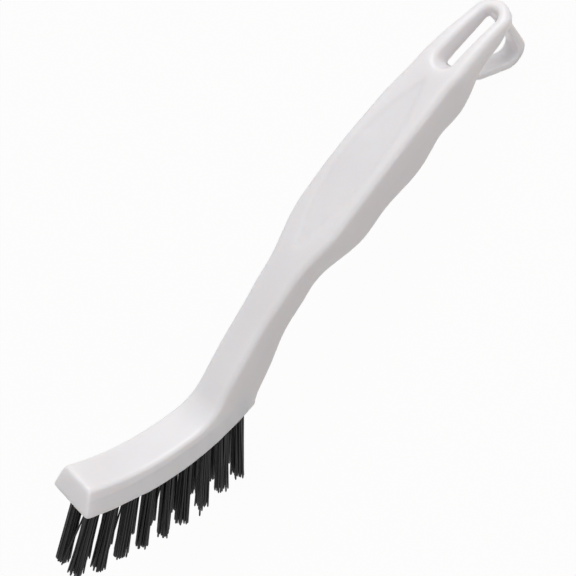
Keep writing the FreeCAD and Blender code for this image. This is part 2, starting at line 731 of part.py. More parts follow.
def add_holes(body):
    """Drilled holes in pairs, each with notches that its staple bites into the wall."""
    overrun = cell("overrun")
    for station in range(TUFTS_PER_ROW):
        sketch = drilling_sketch(body, "hole_outline", station, f"-{overrun}")
        for name, side in ROWS:
            hole = circle(sketch, (0, value(across(side))), value(cell("hole_diameter")) / 2)
            relate(sketch, "PointOnObject", hole, CENTRE, V_AXIS)
            dimension(sketch, f"{name}_diameter", cell("hole_diameter"), "Diameter", hole)
            dimension(sketch, f"{name}_row", across(side), "DistanceY", H_AXIS, START, hole, CENTRE)
        depth = f"{cell('hole_depth')} + {overrun}"
        new_feature(body, "Pocket", f"holes_{station + 1}", {"Length": depth}, Profile=sketch, Reversed=True)
        clearance = cell("staple_clearance")
        notch_depth = f"{cell('hole_depth')} - {cell('staple_lift')} - {cell('staple_height')} - {clearance}"
        sketch = drilling_sketch(body, "notch_outline", station, notch_depth)
        width = f"({cell('staple_thickness')} + 2 * {clearance})"
        length = f"({staple_length()} + 2 * {clearance})"
        for name, side in ROWS:
            rectangle(sketch, width, length, "0", across(side), f"_{name}")
        depth = f"{cell('staple_height')} + 2 * {clearance}"
        name = f"notches_{station + 1}"
        new_feature(body, "Pocket", name, {"Length": depth}, Profile=sketch, Reversed=True)
    doc.recompute()


def staple_length():
    """Expression for a staple's length: the hole and a bite at both ends."""
    return f"({cell('hole_diameter')} + 2 * {cell('staple_bite')})"


def make_handle():
    """Handle: neck, grip, head and hanging end in one moulding."""
    body = new_body("handle")
    add_form(body)
    add_slot(body)
    add_strap(body)
    add_dish(body)
    add_holes(body)
    return body


def polygon(sketch, diameter, count):
    """Regular outline about the sketch's origin, with its corners on a circle."""
    radius = value(diameter) / 2
    turns = [2 * math.pi / count * i for i in range(count)]
    corners = [(radius * math.cos(turn), radius * math.sin(turn)) for turn in turns]
    round_line = circle(sketch, (0, 0), radius)
    sketch.toggleConstruction(round_line)
    relate(sketch, "Coincident", round_line, CENTRE, H_AXIS, START)
    dimension(sketch, "diameter", diameter, "Diameter", round_line)
    sides = [line(sketch, corners[i - 1], corners[i]) for i in range(count)]
    for i in range(count):
        relate(sketch, "Coincident", sides[i - 1], END, sides[i], START)
        relate(sketch, "PointOnObject", sides[i], END, round_line)
    for side in sides[1:]:
        relate(sketch, "Equal", sides[0], side)
    relate(sketch, "PointOnObject", sides[0], END, H_AXIS)


def add_filaments(body, name, count, radius, splay, length):
    """Ring of filaments that lean outwards from inside the root."""
    start = f"({cell('hole_depth')} - {cell('tuft_clearance')} - {cell('root_rise')})"
    sketch = new_sketch(body, f"{name}_outline", "XY_Plane", (radius, "0", start), Y_AXIS, splay)
    polygon(sketch, cell("filament_diameter"), FILAMENT_SIDES)
    pad = new_feature(body, "Pad", name, {"Length": length}, Profile=sketch)
    doc.recompute()
    axis = next(item for item in body.Origin.OriginFeatures if item.Role == "Z_Axis")
    ring = new_feature(body, "PolarPattern", f"{name}_ring", Originals=[pad], Axis=(axis, [""]),
                       Angle=360.0, Occurrences=count)
    body.Tip = ring


def make_tuft(row, side, station):
    """Tuft: a root that fills its hole round the staple, and filaments that spread towards the tips."""
    body = new_body(f"tuft_{row}_{station + 1}")
    root_depth = f"({cell('hole_depth')} - {cell('tuft_clearance')})"
    sketch = new_sketch(body, "root_outline", "XY_Plane")
    diameter = f"({cell('hole_diameter')} - 2 * {cell('tuft_clearance')})"
    polygon(sketch, diameter, ROOT_SIDES)
    new_feature(body, "Pad", "root", {"Length": f"{root_depth} + {cell('root_rise')}"}, Profile=sketch)
    length = f"{cell('trim')} + {cell('root_rise')}"
    add_filaments(body, "inner", INNER_FILAMENTS, cell("inner_ring_radius"), cell("inner_splay"), length)
    add_filaments(body, "outer", OUTER_FILAMENTS, cell("outer_ring_radius"), cell("outer_splay"),
                  f"{length} - {cell('outer_trim_drop')}")
    sketch = new_sketch(body, "window_outline", "XZ_Plane")
    clearance = cell("staple_clearance")
    width = f"({cell('staple_thickness')} + 2 * {clearance})"
    height = f"({cell('staple_height')} + 2 * {clearance})"
    middle = f"({cell('staple_lift')} - {cell('tuft_clearance')} + {cell('staple_height')} / 2)"
    rectangle(sketch, width, height, "0", middle)
    new_feature(body, "Pocket", "window", Profile=sketch, Type="ThroughAll", Midplane=True)
    along, up, lean = tuft_place(station)
    depth = f"({root_depth})"
    body.setExpression(".Placement.Base.x", f"{along} + {depth} * sin({lean})")
    body.setExpression(".Placement.Base.y", across(side))
    body.setExpression(".Placement.Base.z", f"{up} + {depth} * cos({lean})")
    body.Placement = Placement(Vector(), Rotation(Y_AXIS, 1))
    body.setExpression(".Placement.Rotation.Angle", f"180 + {lean}")
    doc.recompute()
    return body


def make_staples():
    """Flat wire staples, one across every hole."""
    wires = []
    for row, side in ROWS:
        for station in range(TUFTS_PER_ROW):
            wire = doc.addObject("Part::Box", f"staple_{row}_{station + 1}")
            wire.setExpression("Length", cell("staple_thickness"))
            wire.setExpression("Width", staple_length())
            wire.setExpression("Height", cell("staple_height"))
            along, up, lean = tuft_place(station)
            foot = f"({cell('hole_depth')} - {cell('staple_lift')})"
            half = f"({cell('staple_thickness')} / 2)"
            wire.Placement = Placement(Vector(), Rotation(Y_AXIS, 1))
            wire.setExpression(".Placement.Rotation.Angle", f"180 + {lean}")
            wire.setExpression(".Placement.Base.x", f"{along} + {foot} * sin({lean}) + {half} * cos({lean})")
            wire.setExpression(".Placement.Base.y", f"{across(side)} - {staple_length()} / 2")
            wire.setExpression(".Placement.Base.z", f"{up} + {foot} * cos({lean}) - {half} * sin({lean})")
            wires.append(wire)
    staples = doc.addObject("Part::Compound", "staples")
    staples.Label = "staples"
    staples.Links = wires
    doc.recompute()
    return staples


# Rest pose


def rest_tilt():
    """Turn about Y at which the lowest tuft and the strap reach the same level."""
    _, centre_x, centre_z, _, _ = strap_places()
    bend = Vector(value(centre_x), 0, value(centre_z))
    splay = math.radians(value(cell("outer_splay")))
    half = value(cell("filament_diameter")) / 2
    length = value(f"{cell('trim')} + {cell('root_rise')} - {cell('outer_trim_drop')}")
    reach = length * math.cos(splay) - half * math.sin(splay) - value(cell("root_rise"))
    spread = value(cell("outer_ring_radius")) + length * math.sin(splay) + half * math.cos(splay)
    tips = []
    for station in range(TUFTS_PER_ROW):
        along, up, lean = (value(item) for item in tuft_place(station))
        turn = Rotation(Y_AXIS, 180 + lean)
        tips.append(Vector(along, 0, up) + turn.multVec(Vector(-spread, 0, reach)))

    def step_height(tilt):
        turn = Rotation(Y_AXIS, tilt)
        lowest_tip = min(turn.multVec(tip).z for tip in tips)
        return lowest_tip - turn.multVec(bend).z + value(cell("strap_bend"))

    low, high = -45.0, 45.0
    for _ in range(SOLVER_STEPS):
        middle = (low + high) / 2
        if step_height(middle) > 0:
            high = middle
        else:
            low = middle
    return (low + high) / 2


def stand(pieces):
    """Turn all pieces alike into the rest pose, with the origin below the middle of their common box."""
    turn = Placement(Vector(), Rotation(Y_AXIS, rest_tilt()))
    box = FreeCAD.BoundBox()
    for piece in pieces:
        shape = piece.Shape.copy()
        shape.Placement = turn.multiply(shape.Placement)
        box.add(shape.optimalBoundingBox(False, False))
    shift = Placement(Vector(-box.Center.x, -box.Center.y, -box.ZMin), Rotation())
    rest = shift.multiply(turn)
    for piece in pieces:
        placed = rest.multiply(piece.Placement)
        for path, _ in list(piece.ExpressionEngine):
            if "Placement" in path:
                piece.setExpression(path, None)
        piece.Placement = placed
    doc.recompute()


def main():
    pieces = [make_handle(), make_staples()]
    for row, side in ROWS:
        for station in range(TUFTS_PER_ROW):
            pieces.append(make_tuft(row, side, station))
    stand(pieces)
    for item in doc.Objects:
        if {"Invalid", "Error"} & set(item.State):
            raise RuntimeError(f"{item.Label} failed: {item.State}")
    for piece in pieces:
        if piece.Shape.isNull() or not piece.Shape.isValid():
            raise RuntimeError(f"{piece.Label} has no valid shape")
    os.makedirs("parts", exist_ok=True)
    for piece in pieces:
        piece.Shape.exportStep(f"parts/{piece.Label}.step")


main()
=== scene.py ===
"""Looks of the crevice brush: its moulded handle, its nylon tufts, its staples and the studio round them."""
import math
import random

import bpy
import numpy as np
from bpy.props import FloatProperty, FloatVectorProperty, IntProperty, PointerProperty
from mathutils import Matrix, Quaternion, Vector


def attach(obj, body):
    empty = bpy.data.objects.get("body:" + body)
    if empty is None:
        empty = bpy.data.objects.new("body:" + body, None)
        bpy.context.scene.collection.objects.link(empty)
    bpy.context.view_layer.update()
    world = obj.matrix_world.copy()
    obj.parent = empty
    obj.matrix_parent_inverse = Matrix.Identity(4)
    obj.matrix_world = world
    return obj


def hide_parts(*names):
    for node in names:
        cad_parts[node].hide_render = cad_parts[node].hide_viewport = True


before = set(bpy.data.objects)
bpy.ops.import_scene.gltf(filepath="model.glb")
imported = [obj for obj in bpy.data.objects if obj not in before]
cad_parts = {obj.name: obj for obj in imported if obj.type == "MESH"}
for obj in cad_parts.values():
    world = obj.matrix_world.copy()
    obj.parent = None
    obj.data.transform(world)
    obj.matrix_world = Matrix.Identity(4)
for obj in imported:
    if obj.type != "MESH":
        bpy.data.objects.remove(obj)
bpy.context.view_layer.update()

bl_info = {
    "name": "Crevice brush",
    "version": (1, 0, 0),
    "blender": (4, 5, 0),
    "location": "3D View > Sidebar > Brush",
    "description": "Dresses the CAD model of a crevice brush",
    "category": "Object",
}

BODY = "root"

# Filaments are modelled in a few forms: the sideways set of the tip, as a share of the length
FILAMENT_BEND_SHARES = (0.0, 0.006, 0.011, 0.02)
# Heights of the rings of a filament, and its girth there, as shares
FILAMENT_RING_SHARES = ((0.35, 1.0), (0.62, 1.0), (0.84, 0.98), (0.985, 0.94), (1.0, 0.62))
FILAMENT_SIDES = 6
# Edges of a filament that turn by more than this stay sharp
FILAMENT_EDGE_ANGLE = math.radians(62)
# Filaments stand on a spiral that turns by this angle from one to the next, with a little scatter
GOLDEN_TURN = math.radians(137.508)
TURN_SCATTER = 0.2
TUFTS_PER_ROW = 9
# Decimals, in metres, to which the points of a CAD tuft are told apart
POINT_DECIMALS = 6

# All places on the handle below are in the frame of the part.
# The head's top arc: its centre (X, Z) and radius, the head's height, the depth of the crease in its sides
# and the share of the flare that they have there, and where and over which run the head ends
HEAD_CENTRE = (-0.01341, 0.09696)
HEAD_TOP_RADIUS = 0.068
HEAD_HEIGHT = 0.0108
HEAD_CREASE_DEPTH = 0.0038
HEAD_CREASE_SHARE = 0.89
HEAD_END_X = -0.044
HEAD_END_RUN = 0.012
# How far sideways a point of the head's sides faces at least
SIDE_FACING = 0.6
# Where the parting line starts to dip towards the nose, and over which run
PARTING_DIP_X = -0.066
PARTING_DIP_RUN = 0.02
# Where the rounder edges of the nose start, and over which run
NOSE_START_X = -0.073
NOSE_RUN = 0.005
# The dish in the grip's top: its middle, half its length and half its width, and how far upwards a point
# of it faces at least, with the run of that
DISH_MIDDLE_X = 0.0494
DISH_HALF_LENGTH = 0.0347
DISH_HALF_WIDTH = 0.0071
DISH_FACING = 0.5
DISH_FACING_RUN = 0.3
# The rails: where they start and over which run, their directions upwards and to the tail, the level above
# which they are rounded, and from which half width and over which run they bulge
RAILS_START_X = 0.083
RAILS_RUN = 0.006
RAILS_UP = (0.276, 0, 0.961)
RAILS_FORWARD = (0.961, 0, -0.276)
RAILS_LEVEL = 0.0495
RAILS_HALF_WIDTH = 0.0045
RAILS_EDGE_RUN = 0.0009
# The strap of the hanging loop: where it is widened, and half the width that it has
STRAP_START_X = 0.0895
STRAP_TOP = 0.0505
STRAP_RUN = 0.003
STRAP_HALF_WIDTH = 0.0031
# The slot: the ends of its middle line along the rails, the largest distance of its walls from that line, the
# levels of the walls' foot, lower edge and upper edge, and the run over which a point faces the middle line
SLOT_ENDS = (0.0788, 0.0974)
SLOT_REACH = 0.0062
SLOT_LEVELS = (0.045, 0.05, 0.0555)
SLOT_FACING_RUN = 0.5
# The scoop at the slot's front: the levels of its foot, of its full depth and of its upper edge, where it
# starts, and over which run
SCOOP_LEVELS = (0.0435, 0.0465, 0.0495, 0.055)
SCOOP_START = 0.079
SCOOP_RUN = 0.0035
# Points of a CAD mesh that are closer than this are one, and smaller shares count as none
SMALLEST = 1e-6
# How far one pass of smoothing moves a point towards its neighbours
SMOOTH_FACTOR = 0.5

# A noise texture hardly leaves these values
NOISE_RANGE = (0.3, 0.7)
# Detail and roughness of the noise behind the grain and the clouds
GRAIN_NOISE = (3, 0.6)
CLOUD_NOISE = (2, 0.45)
# Limits between which the roughness of each finish varies
PLASTIC_ROUGHNESS = (0.28, 0.38)
NYLON_ROUGHNESS = (0.32, 0.5)
STEEL_ROUGHNESS = (0.28, 0.45)
# The plastic: how it bends light, how much light it takes in, how far each colour of that spreads, and the
# strength of its grain
PLASTIC_IOR = 1.49
PLASTIC_GLOW_WEIGHT = 0.8
PLASTIC_GLOW_RADIUS = (1, 0.85, 0.75)
PLASTIC_BUMP = 0.5
# The nylon: its gloss, and the strength of its grain and its depth as a share of the filament
NYLON_SPECULAR = 0.25
NYLON_BUMP = 0.4
NYLON_GRAIN_SHARE = 0.05
# From which share of the length on the cut tips turn paler, how much and towards which colour
TIP_START_SHARE = 0.9
TIP_MIX = 0.35
TIP_COLOUR = (0.05, 0.05, 0.05, 1)
# The steel: its marks are drawn out along the wire, with wider clouds and a deeper tone between them
STEEL_MARK_SCALE = (1, 0.1, 1)
STEEL_CLOUD_RATIO = 10
STEEL_DEEP_SHARE = 0.7
# The floor: its roughness, and the share of white in what the camera sees of it
FLOOR_ROUGHNESS = 0.9
FLOOR_GLOW_SHARE = 0.96
WHITE = (1, 1, 1, 1)
# The camera: the width of its sensor in millimetres, and the nearest that it sees in metres
SENSOR_WIDTH = 36
NEAREST_SEEN = 0.01


class HandleSettings(bpy.types.PropertyGroup):
    """Shape and finish of the moulded handle."""

    colour: FloatVectorProperty(
        name="Plastic", description="Colour of the moulded plastic", subtype="COLOR",
        default=(0.86, 0.845, 0.86), min=0, max=1)
    shade: FloatVectorProperty(
        name="Shade", description="Colour of the slightly deeper clouds in the plastic", subtype="COLOR",
        default=(0.825, 0.805, 0.82), min=0, max=1)
    cloud_size: FloatProperty(
        name="Cloud size", description="Width of the clouds of colour", unit="LENGTH", default=0.03)
    grain_size: FloatProperty(
        name="Grain size", description="Width of the fine grain that the mould leaves", unit="LENGTH",
        default=0.0006)
    grain_depth: FloatProperty(
        name="Grain depth", description="Depth of the fine grain", unit="LENGTH", default=0.00002)
    glow_depth: FloatProperty(
        name="Glow depth", description="How far light spreads inside the plastic", unit="LENGTH",
        default=0.004)
    mesh_size: FloatProperty(
        name="Mesh size", description="Side of the even faces of the handle", unit="LENGTH", default=0.0005)
    rounding: IntProperty(
        name="Rounding", description="How often the edges are smoothed", default=6, min=0)
    rail_rounding: IntProperty(
        name="Rail rounding", description="How often the rails are smoothed before that", default=14, min=0)
    nose_rounding: IntProperty(
        name="Nose rounding", description="How often the nose's edges are smoothed before that", default=45,
        min=0)
    rail_swell: FloatProperty(
        name="Rail swell", description="How far the rails bulge outwards", unit="LENGTH", default=0.0006)
    strap_swell_share: FloatProperty(
        name="Strap swell", description="How much wider the strap is shown, as a share", subtype="FACTOR",
        default=0.25, min=0, max=1)
    dish_drop: FloatProperty(
        name="Dish drop", description="Height of the wall round the dish in the grip", unit="LENGTH",
        default=0.00045)
    dish_wall: FloatProperty(
        name="Dish wall", description="Width of that wall", unit="LENGTH", default=0.0009)
    head_half_width: FloatProperty(
        name="Half width", description="Half the width of the head's top", unit="LENGTH", default=0.0069)
    slot_draft: FloatProperty(
        name="Slot draft", description="How far the slot's walls lean in", unit="LENGTH", default=0.00065)
    slot_scoop: FloatProperty(
        name="Slot scoop", description="How far the slot's front end slopes", unit="LENGTH", default=0.0036)
    parting_depth: FloatProperty(
        name="Parting depth", description="Depth of the parting line below the head's top", unit="LENGTH",
        default=0.0028)
    parting_dip: FloatProperty(
        name="Parting dip", description="How much deeper the parting line runs at the nose", unit="LENGTH",
        default=0.0014)
    parting_width: FloatProperty(
        name="Parting width", description="Half the width of the ridge along the parting line", unit="LENGTH",
        default=0.0005)
    parting_ridge: FloatProperty(
        name="Parting ridge", description="Height of the ridge along the parting line", unit="LENGTH",
        default=0.00018)


class TuftSettings(bpy.types.PropertyGroup):
    """Make-up of the nylon tufts."""

    filaments: IntProperty(
        name="Filaments", description="Filaments in each tuft", default=40, min=3)
    diameter: FloatProperty(
        name="Diameter", description="Thickness of a filament", unit="LENGTH", default=0.00068)
    length: FloatProperty(
        name="Length", description="Length at which a filament is modelled", unit="LENGTH", default=0.035)
    root_radius: FloatProperty(
        name="Root radius", description="Radius of the bundle where it leaves the sole", unit="LENGTH",
        default=0.0019)
    root_depth: FloatProperty(
        name="Root depth", description="Depth of the tuft in its hole", unit="LENGTH", default=0.0075)
    seat: FloatProperty(
        name="Seat", description="Depth in the hole at which the modelled filaments start", unit="LENGTH",
        default=0.003)
    splay: FloatProperty(
        name="Splay", description="Outward lean of the outermost filaments", subtype="ANGLE",
        default=math.radians(0.25))
    scatter: FloatProperty(
        name="Scatter", description="Usual lean of a filament out of line", subtype="ANGLE",
        default=math.radians(0.3))
    tuft_lean: FloatProperty(
        name="Tuft lean", description="Usual lean of a whole tuft out of line", subtype="ANGLE",
        default=math.radians(0.7))
    trim_scatter: FloatProperty(
        name="Trim scatter", description="How much shorter than the others a filament may be", unit="LENGTH",
        default=0.0014)
    nose_trim: FloatProperty(
        name="Nose trim", description="How much shorter the tufts get from the heel to the nose",
        unit="LENGTH", default=0.0018)
    stray_share: FloatProperty(
        name="Strays", description="Share of filaments that stand away from their tuft", subtype="FACTOR",
        default=0.012, min=0, max=1)
    stray_lean: FloatProperty(
        name="Stray lean", description="Lean of a filament that stands away", subtype="ANGLE",
        default=math.radians(7))
    floor_gap: FloatProperty(
        name="Floor gap", description="Height at which the lowest filaments end", unit="LENGTH",
        default=0.0001)
    dark: FloatVectorProperty(
        name="Dark", description="Colour of the darkest filaments", subtype="COLOR",
        default=(0.004, 0.004, 0.0045), min=0, max=1)
    light: FloatVectorProperty(
        name="Light", description="Colour of the palest filaments", subtype="COLOR",
        default=(0.014, 0.0135, 0.014), min=0, max=1)
    seed: IntProperty(
        name="Seed", description="Start of the random numbers", default=7)


class StapleSettings(bpy.types.PropertyGroup):
    """Finish of the staples."""

    colour: FloatVectorProperty(
        name="Steel", description="Colour of the plated wire", subtype="COLOR",
        default=(0.62, 0.61, 0.59), min=0, max=1)
    scratch_size: FloatProperty(
        name="Scratch size", description="Width of the drawing marks on the wire", unit="LENGTH",
        default=0.0003)


class StageSettings(bpy.types.PropertyGroup):
    """Floor, lamps and camera."""

    floor_size: FloatProperty(
        name="Floor", description="Side of the floor", unit="LENGTH", default=6.0)
    floor_colour: FloatVectorProperty(
        name="Floor colour", description="Colour of the floor", subtype="COLOR",
        default=(0.56, 0.52, 0.5), min=0, max=1)
    sky: FloatProperty(
        name="Sky", description="Strength of the even light from all round", default=0.47)
    key_power: FloatProperty(
        name="Key lamp", description="Power of the large soft lamp overhead", unit="POWER", default=52.0)
    key_place: FloatVectorProperty(
        name="Key place", description="Place of the large soft lamp", subtype="TRANSLATION",
        default=(2.28, 0.2, 1.91))
    key_size: FloatProperty(
        name="Key size", description="Side of the large soft lamp", unit="LENGTH", default=2.2)
    fill_power: FloatProperty(
        name="Fill lamp", description="Power of the soft lamp beside the camera", unit="POWER", default=1.8)
    fill_place: FloatVectorProperty(
        name="Fill place", description="Place of the soft lamp beside the camera", subtype="TRANSLATION",
        default=(-0.35, -1.2, 0.85))
    fill_size: FloatProperty(
        name="Fill size", description="Side of the soft lamp beside the camera", unit="LENGTH", default=1.0)
    target: FloatVectorProperty(
        name="Target", description="Point that the camera looks at", subtype="TRANSLATION",
        default=(0.0027, -0.0003, 0.0344))
    distance: FloatProperty(
        name="Distance", description="From the camera to its target", unit="LENGTH", default=0.7)
    azimuth: FloatProperty(
        name="Azimuth", description="Turn of the camera from -Y towards +X", subtype="ANGLE",
        default=math.radians(23.276))
    elevation: FloatProperty(
        name="Elevation", description="Height of the camera as an angle", subtype="ANGLE",
        default=math.radians(53.996))
    roll: FloatProperty(
        name="Roll", description="Turn of the camera's top towards its right", subtype="ANGLE",
        default=math.radians(75.7))
    lens: FloatProperty(
        name="Lens", description="Focal length in millimetres", default=137.3)


def deselect_all():
    """Leave nothing selected, so that an operator only acts on what is chosen next."""
    for item in bpy.context.selected_objects:
        item.select_set(False)


def choose(piece):
    """Make one object the only selected and the active one."""
    deselect_all()
    piece.select_set(True)
    bpy.context.view_layer.objects.active = piece


def link_new(name, data):
    """New object in the scene for a mesh, a lamp or the camera."""
    piece = bpy.data.objects.new(name, data)
    bpy.context.scene.collection.objects.link(piece)
    return piece


def dress(piece, material):
    """Give an object one material."""
    piece.data.materials.clear()
    piece.data.materials.append(material)


def add_node(tree, kind, place, **values):
    """Node of a tree, with some of its own settings."""
    node = tree.nodes.new(kind)
    node.location = place
    for key, value in values.items():
        setattr(node, key, value)
    return node


def new_material(name):
    """Empty node material with its output and a Principled shader."""
    material = bpy.data.materials.new(name)
    material.use_nodes = True
    tree = material.node_tree
    tree.nodes.clear()
    output = add_node(tree, "ShaderNodeOutputMaterial", (600, 0))
    shader = add_node(tree, "ShaderNodeBsdfPrincipled", (300, 0))
    tree.links.new(shader.outputs["BSDF"], output.inputs["Surface"])
    return material, tree, shader


def grain_group():
    """Shared effect: fine grain and soft clouds, both from one place vector."""
    found = bpy.data.node_groups.get("surface_grain")
    if found:
        return found
    group = bpy.data.node_groups.new("surface_grain", "ShaderNodeTree")
    face = group.interface
    face.new_socket("Vector", in_out="INPUT", socket_type="NodeSocketVector")
    for name in ("Grain Scale", "Cloud Scale"):
        face.new_socket(name, in_out="INPUT", socket_type="NodeSocketFloat")
    for name in ("Grain", "Cloud"):
        face.new_socket(name, in_out="OUTPUT", socket_type="NodeSocketFloat")
    start = add_node(group, "NodeGroupInput", (-600, 0))
    end = add_node(group, "NodeGroupOutput", (400, 0))
    grain = add_node(group, "ShaderNodeTexNoise", (-200, 150), noise_dimensions="3D")
    cloud = add_node(group, "ShaderNodeTexNoise", (-200, -150), noise_dimensions="3D")
    link = group.links.new
    for texture, name, (detail, roughness) in ((grain, "Grain", GRAIN_NOISE), (cloud, "Cloud", CLOUD_NOISE)):
        texture.inputs["Detail"].default_value = detail
        texture.inputs["Roughness"].default_value = roughness
        link(start.outputs["Vector"], texture.inputs["Vector"])
        link(start.outputs[f"{name} Scale"], texture.inputs["Scale"])
        link(texture.outputs["Fac"], end.inputs[name])
    return group


def place_grain(tree, vector, grain_size, cloud_size):
    """The shared grain in a material, at its own sizes in metres."""
    grain = add_node(tree, "ShaderNodeGroup", (-600, 0), node_tree=grain_group())
    grain.inputs["Grain Scale"].default_value = 1 / grain_size
    grain.inputs["Cloud Scale"].default_value = 1 / cloud_size
    tree.links.new(vector, grain.inputs["Vector"])
    return grain


def colour_between(tree, factor, first, last, place):
    """Ramp from one colour to another over the middle of a factor."""
    ramp = add_node(tree, "ShaderNodeValToRGB", place)
    for stop, position, colour in zip(ramp.color_ramp.elements, NOISE_RANGE, (first, last)):
        stop.position = position
        stop.color = (*colour, 1)
    tree.links.new(factor, ramp.inputs["Fac"])
    return ramp.outputs["Color"]


def value_between(tree, factor, limits, place):
    """Value that follows a factor between two limits."""
    spread = add_node(tree, "ShaderNodeMapRange", place)
    for side, position, limit in zip(("Min", "Max"), NOISE_RANGE, limits):
        spread.inputs[f"From {side}"].default_value = position
        spread.inputs[f"To {side}"].default_value = limit
    tree.links.new(factor, spread.inputs["Value"])
    return spread.outputs["Result"]


def add_bump(tree, shader, height, depth, strength):
    """Bump of a given depth in metres on a shader."""
    bump = add_node(tree, "ShaderNodeBump", (50, -300))
    bump.inputs["Strength"].default_value = strength
    bump.inputs["Distance"].default_value = depth
    tree.links.new(height, bump.inputs["Height"])
    tree.links.new(bump.outputs["Normal"], shader.inputs["Normal"])


def handle_plastic(settings):
    """Satin off-white plastic with faint clouds and the fine grain of its mould."""
    material, tree, shader = new_material("handle_plastic")
    place = add_node(tree, "ShaderNodeTexCoord", (-850, 0))
    grain = place_grain(tree, place.outputs["Object"], settings.grain_size, settings.cloud_size)
    link = tree.links.new
    link(colour_between(tree, grain.outputs["Cloud"], settings.shade, settings.colour, (-250, 250)),
         shader.inputs["Base Color"])
    link(value_between(tree, grain.outputs["Cloud"], PLASTIC_ROUGHNESS, (-250, 0)),
         shader.inputs["Roughness"])
    add_bump(tree, shader, grain.outputs["Grain"], settings.grain_depth, PLASTIC_BUMP)
    shader.inputs["IOR"].default_value = PLASTIC_IOR
    shader.inputs["Subsurface Weight"].default_value = PLASTIC_GLOW_WEIGHT
    shader.inputs["Subsurface Scale"].default_value = settings.glow_depth
    shader.inputs["Subsurface Radius"].default_value = PLASTIC_GLOW_RADIUS
    return material


def tuft_nylon(settings):
    """Near-black nylon whose filaments differ a little and turn paler at their cut tips."""
    material, tree, shader = new_material("tuft_nylon")
    place = add_node(tree, "ShaderNodeTexCoord", (-850, -250))
    grain = place_grain(tree, place.outputs["Object"], settings.diameter, settings.root_radius)
    strand = add_node(tree, "ShaderNodeAttribute", (-850, 250), attribute_name="strand")
    reach = add_node(tree, "ShaderNodeAttribute", (-850, 50), attribute_name="reach")
    link = tree.links.new
    tone = colour_between(tree, strand.outputs["Fac"], settings.dark, settings.light, (-300, 300))
    tip = add_node(tree, "ShaderNodeMapRange", (-300, 50))
    tip.inputs["From Min"].default_value = TIP_START_SHARE
    tip.inputs["To Max"].default_value = TIP_MIX
    link(reach.outputs["Fac"], tip.inputs["Value"])
    mixed = add_node(tree, "ShaderNodeMix", (0, 200), data_type="RGBA")
    mixed.inputs["B"].default_value = TIP_COLOUR
    link(tip.outputs["Result"], mixed.inputs["Factor"])
    link(tone, mixed.inputs["A"])
    link(mixed.outputs["Result"], shader.inputs["Base Color"])
    link(value_between(tree, strand.outputs["Fac"], NYLON_ROUGHNESS, (-300, -150)),
         shader.inputs["Roughness"])
    add_bump(tree, shader, grain.outputs["Grain"], settings.diameter * NYLON_GRAIN_SHARE, NYLON_BUMP)
    shader.inputs["Specular IOR Level"].default_value = NYLON_SPECULAR
    return material


def staple_steel(settings):
    """Plated steel wire with fine drawing marks."""
    material, tree, shader = new_material("staple_steel")
    place = add_node(tree, "ShaderNodeTexCoord", (-1050, 0))
    drawn = add_node(tree, "ShaderNodeMapping", (-850, 0))
    drawn.inputs["Scale"].default_value = STEEL_MARK_SCALE
    tree.links.new(place.outputs["Object"], drawn.inputs["Vector"])
    cloud_size = STEEL_CLOUD_RATIO * settings.scratch_size
    grain = place_grain(tree, drawn.outputs["Vector"], settings.scratch_size, cloud_size)
    deep = tuple(STEEL_DEEP_SHARE * part for part in settings.colour)
    link = tree.links.new
    link(colour_between(tree, grain.outputs["Grain"], deep, settings.colour, (-250, 250)),
         shader.inputs["Base Color"])
    link(value_between(tree, grain.outputs["Grain"], STEEL_ROUGHNESS, (-250, 0)),
         shader.inputs["Roughness"])
    shader.inputs["Metallic"].default_value = 1
    return material


def vertex_table(piece, name):
    """Places or normals of a mesh's points, one row for each."""
    values = np.empty(3 * len(piece.data.vertices))
    piece.data.vertices.foreach_get(name, values)
    return values.reshape(-1, 3)


def ease(value):
    """Soft step from zero to one."""
    share = np.clip(value, 0, 1)
    return share * share * (3 - 2 * share)


def shape_head(piece, settings):
    """Make the head's sides even from its top edge to its sole, with the fine ridge of a parting line."""
    places = vertex_table(piece, "co")
    sideways = np.abs(vertex_table(piece, "normal")[:, 1])
    along, across, up = places.T
    depth = np.hypot(along - HEAD_CENTRE[0], up - HEAD_CENTRE[1]) - HEAD_TOP_RADIUS
    depth = np.clip(depth, 0, HEAD_HEIGHT)
    flare = np.interp(depth, (0, HEAD_CREASE_DEPTH, HEAD_HEIGHT), (0, HEAD_CREASE_SHARE, 1))
    even_share = np.where(flare > 0, depth / HEAD_HEIGHT / np.maximum(flare, SMALLEST), 1)
    beyond = np.maximum(np.abs(across) - settings.head_half_width, 0)
    shift = (even_share - 1) * beyond
    line = settings.parting_depth + settings.parting_dip * ease((PARTING_DIP_X - along) / PARTING_DIP_RUN)
    below = (depth - line) / settings.parting_width
    parting = settings.parting_ridge * np.exp(-below ** 2)
    shift += parting * (beyond > 0) * (sideways > SIDE_FACING)
    shift *= ease((HEAD_END_X - along) / HEAD_END_RUN)
    places[:, 1] += np.sign(across) * shift
    piece.data.vertices.foreach_set("co", places.ravel())


def group_points(piece, name, weights):
    """Vertex group of the points that have a weight."""
    group = piece.vertex_groups.new(name=name)
    for index in np.flatnonzero(weights):
        group.add([int(index)], float(weights[index]), "REPLACE")


